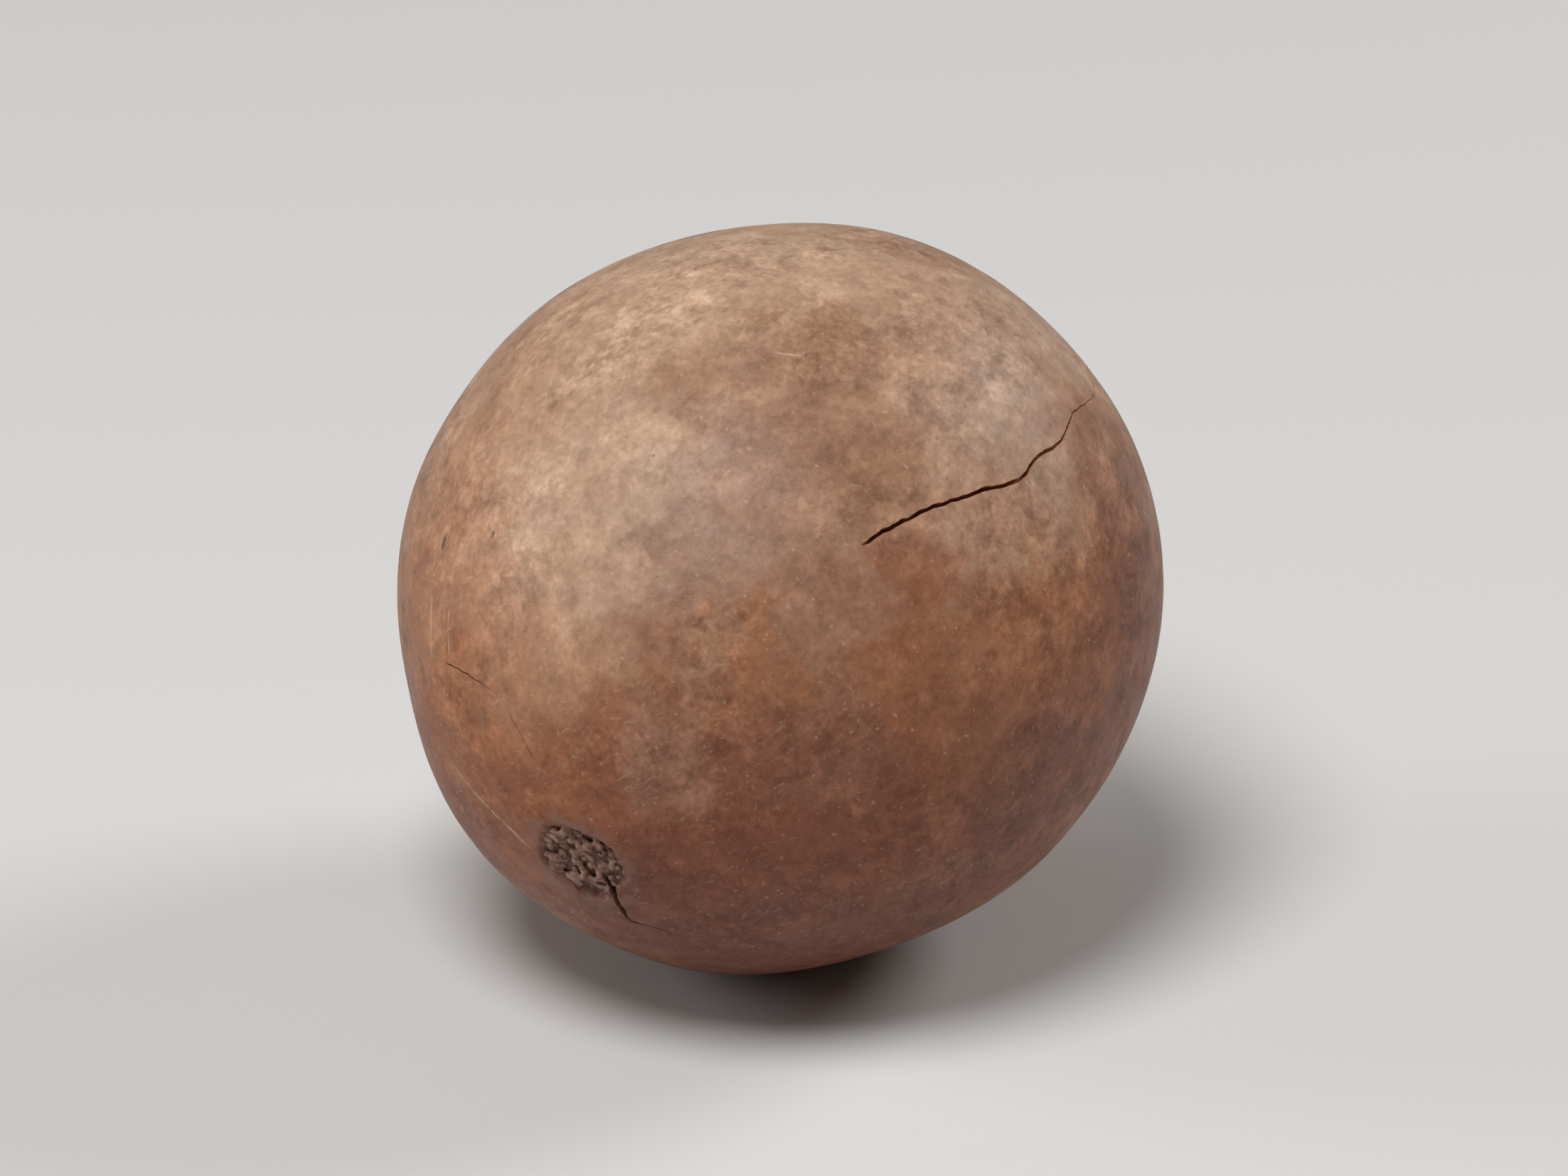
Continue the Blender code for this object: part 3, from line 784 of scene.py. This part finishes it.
# %% Fine flecks: what they multiply the colour by, size in mm
FLECKS = (
    ((1.33, 1.36, 1.38), 1.6),
    ((0.75, 0.71, 0.69), 1.2),
    ((1.17, 1.19, 1.21), 0.60),
    ((0.86, 0.83, 0.81), 0.48),
    ((1.15, 1.17, 1.19), 0.27),
    ((0.86, 0.83, 0.81), 0.21),
)
# Some regions are quieter than others: the weakest and strongest share of the flecks
QUIET, LIVELY = 0.62, 1.05
UNREST_SIZE, UNREST_FROM, UNREST_TO = 4.5, 0.38, 0.62

unrest = ramp(tree, noise(tree, own, UNREST_SIZE).outputs[0], UNREST_FROM, UNREST_TO, QUIET, LIVELY)
for number, (tint, size) in enumerate(FLECKS):
    cover = calc(tree, "MULTIPLY", clouds(len(CLOUDS) + number, size, 1.0), unrest)
    colour = mix(tree, cover, colour, tint, "MULTIPLY")
print("Layers of flecks:", len(FLECKS))

# %% Specks and pores: cell in mm, radius in shares of the cell, share of the cells, strength
SPECK_CELL, SPECK_RADIUS, SPECK_SHARE, SPECK_STRENGTH = 0.40, 0.20, 0.42, 0.34
PORE_CELL, PORE_RADIUS, PORE_SHARE, PORE_STRENGTH = 0.95, 0.085, 0.30, 0.55
DOT_CORE = 0.3
DOT_WANDER, DOT_WANDER_SIZE = 0.3, 0.25
PALE_DUST = (0.62, 0.45, 0.32)
PORE_BROWN = (0.050, 0.019, 0.012)


def dots(cell, radius, share, strength):
    """How much small ragged dots cover. A share of the cells hold one each."""
    ragged = strayed(tree, own, stray(tree, own, DOT_WANDER_SIZE), DOT_WANDER)
    cells = put(tree, "ShaderNodeTexVoronoi", {0: ragged, 2: 1.0 / cell})
    chosen = put(tree, "ShaderNodeSeparateColor", {0: cells.outputs[1]}).outputs[0]
    chosen = calc(tree, "LESS_THAN", chosen, share)
    dot = ramp(tree, cells.outputs[0], DOT_CORE * radius, radius, 1.0, 0.0)
    return calc(tree, "MULTIPLY", calc(tree, "MULTIPLY", chosen, dot), strength)


colour = mix(tree, dots(SPECK_CELL, SPECK_RADIUS, SPECK_SHARE, SPECK_STRENGTH), colour, PALE_DUST)
colour = mix(tree, dots(PORE_CELL, PORE_RADIUS, PORE_SHARE, PORE_STRENGTH), colour, PORE_BROWN)
print("Specks about", round(2.0 * SPECK_CELL * SPECK_RADIUS, 2), "mm across")

# %% [markdown]
# ## Scratches
#
# Handling leaves short pale hairs all over, and a few longer marks that the eye remembers: a pale scratch
# that runs into the scar, some streaks at the left, two dark nicks, and the faint end of the hairline
# crack. The random hairs are a noise stretched along one direction. A mark with a place is the part of a
# great circle between two places, which needs only the distance from its plane.

# %% Hairs
HAIR_LENGTH, HAIR_WIDTH, HAIR_STRENGTH = 1.5, 0.10, 0.20
HAIR_BEND, HAIR_BEND_SIZE = 1.6, 1.8
HAIR_FADE = 0.10
# How each set of hairs is turned, and above which height of the noise it shows
HAIR_SETS = (((0.3, 0.9, 0.4), 0.66), ((1.2, -0.5, 1.9), 0.67))


def hairs(turn, threshold):
    """Short bent streaks near one direction, where a stretched noise is high."""
    bend = scaled(tree, noise(tree, own, HAIR_BEND_SIZE).outputs[1], HAIR_BEND)
    shape = {0: vector(tree, "ADD", own, bend), "Rotation": turn,
             "Scale": (1.0 / HAIR_LENGTH, 1.0 / HAIR_WIDTH, 1.0 / HAIR_WIDTH)}
    stretched = put(tree, "ShaderNodeMapping", shape).outputs[0]
    return ramp(tree, noise(tree, stretched, 1.0, detail=1.0).outputs[0], threshold, threshold + HAIR_FADE)


hair = calc(tree, "MAXIMUM", *(hairs(turn, threshold) for turn, threshold in HAIR_SETS))
colour = mix(tree, calc(tree, "MULTIPLY", hair, HAIR_STRENGTH), colour, PALE_DUST)
print("Hairs about", HAIR_LENGTH, "mm long, in", len(HAIR_SETS), "directions")

# %% Placed scratches: colour, start, end, width in mm, strength
SCRATCHES = (
    (PALE_DUST, (26.7, 128.0), (7.5, 148.0), 0.11, 0.60),
    (PALE_DUST, (46.0, 100.0), (36.5, 107.0), 0.12, 0.40),
    (PALE_DUST, (42.0, 93.5), (33.9, 99.1), 0.12, 0.42),
    (PALE_DUST, (87.3, 40.2), (89.2, 35.0), 0.10, 0.50),
    (PORE_BROWN, (53.0, 94.0), (50.5, 95.8), 0.26, 0.70),
    (PORE_BROWN, (49.6, 79.4), (50.3, 77.8), 0.24, 0.75),
    (PORE_BROWN, (25.0, 78.6), (16.5, 70.0), 0.09, 0.45),
    (PORE_BROWN, (129.0, 41.0), (126.5, 37.5), 0.14, 0.55),
)
# How far a mark strays from its line, in shares of the nut's radius, and over what length in mm
SHAKE, SHAKE_SIZE = 0.022, 0.9
BREAK_SIZE, BREAK_FROM, BREAK_TO, BREAK_WEAKEST = 0.45, 0.35, 0.55, 0.30
# Where a mark starts to fade and ends, in shares of its width, and where its ends start, of its half length
SCRATCH_CORE, SCRATCH_SIDE, SCRATCH_TAPER = 0.2, 0.6, 0.6


def scratch(start, end, width):
    """A thin wavering mark from one place to another, broken here and there, fading out at both ends."""
    start, end = place(*start), place(*end)
    shaken = strayed(tree, direction, stray(tree, own, SHAKE_SIZE, detail=4.0, roughness=0.6), SHAKE)
    from_plane = calc(tree, "ABSOLUTE", vector(tree, "DOT_PRODUCT", shaken, start.cross(end).normalized()))
    from_line = calc(tree, "MULTIPLY", from_plane, WAIST_RADIUS)
    line = ramp(tree, from_line, SCRATCH_CORE * width, SCRATCH_SIDE * width, 1.0, 0.0)
    whole = ramp(tree, noise(tree, own, BREAK_SIZE).outputs[0], BREAK_FROM, BREAK_TO, BREAK_WEAKEST, 1.0)
    half_length = 0.5 * math.degrees(start.angle(end))
    from_middle = degrees_from(tree, direction, (start + end).normalized())
    taper = ramp(tree, from_middle, SCRATCH_TAPER * half_length, half_length, 1.0, 0.0)
    return calc(tree, "MULTIPLY", calc(tree, "MULTIPLY", line, whole), taper)


for stain, start, end, width, strength in SCRATCHES:
    colour = mix(tree, calc(tree, "MULTIPLY", scratch(start, end, width), strength), colour, stain)
print("Scratches put in by place:", len(SCRATCHES))

# %% [markdown]
# ## Scar, tip and gloss
#
# The sunk bed of the scar is painted dark brown as shade, growing darker in from its edge, and the lip
# round it is bleached and flaking, so the taupe of the lip is broken up by a noise. The nub at the tip is
# paler than the shell, in a redder ring. The skin has a dull satin gloss that changes with the mottle, and
# a very fine grain that only shows in the highlight.

# %% Scar and tip
BED_SHADE_BROWN, BED_SHADE_STRENGTH = (0.100, 0.042, 0.027), 0.90
LIP_TAUPE, LIP_STRENGTH = (0.230, 0.128, 0.092), 0.75
LIP_WIDTH, FLAKE_SIZE, FLAKE_FROM, FLAKE_TO = 0.60, 0.45, 0.35, 0.60
TIP_EDGE_WANDER, TIP_EDGE_SIZE = 0.07, 0.5
# Tone, where it starts to fade and where it ends in degrees from the tip, strength
TIP_TONES = (("red brown", 4.5, 9.0, 0.50), ("tan", 1.02, 3.4, 0.75))

in_scar = put(tree, "ShaderNodeAttribute", attribute_name="in_scar").outputs["Fac"]
flakes = noise(tree, own, FLAKE_SIZE, detail=4.0, roughness=0.6).outputs[0]
lip = ramp(tree, in_scar, -LIP_WIDTH, 0.0, 0.0, LIP_STRENGTH)
lip = calc(tree, "MULTIPLY", lip, ramp(tree, flakes, FLAKE_FROM, FLAKE_TO))
colour = mix(tree, lip, colour, LIP_TAUPE)
# Painted shade: the sunk bed of the scar is painted dark brown
colour = mix(tree, ramp(tree, in_scar, 0.0, SCAR_WALL, 0.0, BED_SHADE_STRENGTH), colour, BED_SHADE_BROWN)

ragged = strayed(tree, direction, stray(tree, own, TIP_EDGE_SIZE, detail=4.0), TIP_EDGE_WANDER)
from_tip = degrees_from(tree, vector(tree, "NORMALIZE", ragged), place(180.0, 0.0))
for tone, core, reach, strength in TIP_TONES:
    colour = mix(tree, ramp(tree, from_tip, core, reach, strength, 0.0), colour, TONES[tone])
tree.links.new(colour, shader.inputs["Base Color"])
print("The lip is bleached over", LIP_WIDTH, "mm, and the tip has", len(TIP_TONES), "rings")

# %% Gloss and grain of the shell
GLOSS_SIZE, GLOSS_FROM, GLOSS_TO = 1.1, 0.3, 0.7
SMOOTHEST, ROUGHEST = 0.42, 0.58
PEEL_SIZE, PEEL_HEIGHT = 0.60, 0.012
GRAIN_SIZE, GRAIN_HEIGHT = 0.13, 0.006


def bump(size, height, detail=2.0, **under):
    """A fine relief of this size and height in mm, which may lie on another one."""
    relief = {"Distance": height * MILLIMETRE, "Height": noise(tree, own, size, detail).outputs[0], **under}
    return put(tree, "ShaderNodeBump", relief).outputs[0]


gloss = noise(tree, own, GLOSS_SIZE, detail=4.0, roughness=0.6).outputs[0]
gloss = ramp(tree, gloss, GLOSS_FROM, GLOSS_TO, SMOOTHEST, ROUGHEST, smooth=False)
tree.links.new(gloss, shader.inputs["Roughness"])
grain = bump(GRAIN_SIZE, GRAIN_HEIGHT, detail=3.0, Normal=bump(PEEL_SIZE, PEEL_HEIGHT))
tree.links.new(grain, shader.inputs["Normal"])
print("The shell material has", len(tree.nodes), "nodes")

# %% [markdown]
# ## Crack walls and cork
#
# A freshly split macadamia shell is a bright orange brown inside, streaked by its fibres. In the open
# crack a little of that shows through the shade, while the walls are painted darker towards the scar, as
# shade deep in the gash. The cork is a greyish taupe on top, painted dark brown as shade in its pits, and
# stained here and there. Its material reads the height that the cork tree stored.

# %% Crack walls
WALL_DARK, WALL_BRIGHT = (0.280, 0.105, 0.043), (0.460, 0.200, 0.098)
FIBRE_SIZE = 0.3
# Degrees from the scar over which the walls' painted shade ends, and its strength
WALL_SHADE_FROM, WALL_SHADE_TO, WALL_SHADE_STRENGTH = 15.0, 40.0, 0.85

tree, shader = dull_surface(crack_material, roughness=0.85, specular=0.2)
own, direction = own_axes(tree)
colour = mix(tree, noise(tree, own, FIBRE_SIZE, detail=4.0).outputs[0], WALL_DARK, WALL_BRIGHT)
from_stalk = degrees_from(tree, direction, place(0.0, 0.0))
# Painted shade: the walls darken towards the scar, deep in the gash
colour = mix(tree, ramp(tree, from_stalk, WALL_SHADE_FROM, WALL_SHADE_TO, WALL_SHADE_STRENGTH, 0.0), colour, BED_SHADE_BROWN)
tree.links.new(colour, shader.inputs["Base Color"])
print("The crack wall material has", len(tree.nodes), "nodes")

# %% Cork
CORK_DULL, CORK_PALE = (0.195, 0.103, 0.073), (0.345, 0.212, 0.157)
CORK_TONE_SIZE, CORK_TONE_FROM, CORK_TONE_TO = 0.45, 0.35, 0.65
PIT_SHADE_BROWN, PIT_SHADE_HEIGHT = (0.105, 0.044, 0.029), 0.15
CORK_STAIN, CORK_STAIN_STRENGTH = (0.140, 0.062, 0.041), 0.65
CORK_STAIN_SIZE, CORK_STAIN_FROM, CORK_STAIN_TO = 0.20, 0.50, 0.68
CORK_GRAIN_SIZE, CORK_GRAIN_HEIGHT = 0.08, 0.02

tree, shader = dull_surface(cork_material, roughness=0.8, specular=0.25)
own, direction = own_axes(tree)
tones = noise(tree, own, CORK_TONE_SIZE, detail=3.0).outputs[0]
knobs = mix(tree, ramp(tree, tones, CORK_TONE_FROM, CORK_TONE_TO), CORK_DULL, CORK_PALE)
height = put(tree, "ShaderNodeAttribute", attribute_name="stands_out").outputs["Fac"]
# Painted shade: the cork is painted dark brown where it stands low, in the pits
colour = mix(tree, ramp(tree, height, 0.0, PIT_SHADE_HEIGHT), PIT_SHADE_BROWN, knobs)
stained = noise(tree, own, CORK_STAIN_SIZE, detail=3.0).outputs[0]
stained = ramp(tree, stained, CORK_STAIN_FROM, CORK_STAIN_TO, 0.0, CORK_STAIN_STRENGTH)
colour = mix(tree, stained, colour, CORK_STAIN)
tree.links.new(colour, shader.inputs["Base Color"])
tree.links.new(bump(CORK_GRAIN_SIZE, CORK_GRAIN_HEIGHT, detail=3.0), shader.inputs["Normal"])
print("The cork material has", len(tree.nodes), "nodes")

# %% [markdown]
# ## Tie the pieces to the frame
#
# Both pieces stand for the one CAD node, which is hidden, and ride on its body.

# %% Pieces
for piece in (shell, cork):
    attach(piece, "root")
    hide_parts("nut")
    print(piece.name, [round(1000.0 * side, 2) for side in piece.dimensions], "mm")

# %% [markdown]
# ## Floor, light and camera
#
# The nut lies on a plain pale floor. The key light is large and soft, and hangs above and in front, a
# little to the left. A second one at the left models the flank, and a third from the upper right lifts the
# crack out of the shade, so the lower right falls dark. The camera looks down by 25 degrees through a long
# lens, so that the nut keeps its true outline.

# %% Floor and lights
FLOOR_HALF_WIDTH = 3.0
FLOOR_COLOUR = (0.66, 0.65, 0.635, 1.0)
ROOM_COLOUR, ROOM_STRENGTH = (1.0, 0.98, 0.96, 1.0), 0.06
# Name, direction from the nut, distance and width in metres, watts
LIGHTS = (
    ("key softbox", (-0.20, -0.40, 0.89), 0.42, 0.20, 1.45),
    ("left softbox", (-0.95, 0.10, 0.30), 0.42, 0.20, 0.55),
    ("right softbox", (0.75, 0.35, 0.56), 0.42, 0.18, 0.75),
)

floor_mesh = bmesh.new()
bmesh.ops.create_grid(floor_mesh, x_segments=1, y_segments=1, size=FLOOR_HALF_WIDTH)
floor = new_object("floor", floor_mesh)
floor_material = bpy.data.materials.new("pale floor")
tree, shader = dull_surface(floor_material, roughness=0.9, specular=0.1)
shader.inputs["Base Color"].default_value = FLOOR_COLOUR
floor.data.materials.append(floor_material)
floor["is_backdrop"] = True

scene = bpy.context.scene
for name, toward, distance, width, watts in LIGHTS:
    lamp = bpy.data.lights.new(name, "AREA")
    lamp.shape = "DISK"
    lamp.size = width
    lamp.energy = watts
    holder = bpy.data.objects.new(name, lamp)
    holder.location = middle + Vector(toward).normalized() * distance
    holder.rotation_euler = Vector(toward).to_track_quat("Z", "Y").to_euler()
    scene.collection.objects.link(holder)

room = bpy.data.worlds.new("studio")
room.use_nodes = True
room.node_tree.nodes["Background"].inputs["Color"].default_value = ROOM_COLOUR
room.node_tree.nodes["Background"].inputs["Strength"].default_value = ROOM_STRENGTH
scene.world = room
scene.view_settings.view_transform = "Standard"
print("Lamps:", len(LIGHTS), "with", round(sum(light[-1] for light in LIGHTS), 2), "watts in all")

# %% Camera
CAMERA_DISTANCE = 0.42
CAMERA_ELEVATION = 25.0
CAMERA_LENS, CAMERA_SENSOR = 280.0, 36.0

camera = bpy.data.objects.new("camera", bpy.data.cameras.new("camera"))
camera.data.lens = CAMERA_LENS
camera.data.sensor_width = CAMERA_SENSOR
tip_down = math.radians(CAMERA_ELEVATION)
back = Vector((0.0, -math.cos(tip_down), math.sin(tip_down)))
camera.location = middle + back * CAMERA_DISTANCE
camera.rotation_euler = back.to_track_quat("Z", "Y").to_euler()
scene.collection.objects.link(camera)
scene.camera = camera
print("The camera stands at", [round(part, 3) for part in camera.location], "m")

# %% Sizes, and the end
low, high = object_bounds()
print("Visual box in mm:", [round(1000.0 * side, 2) for side in high - low])
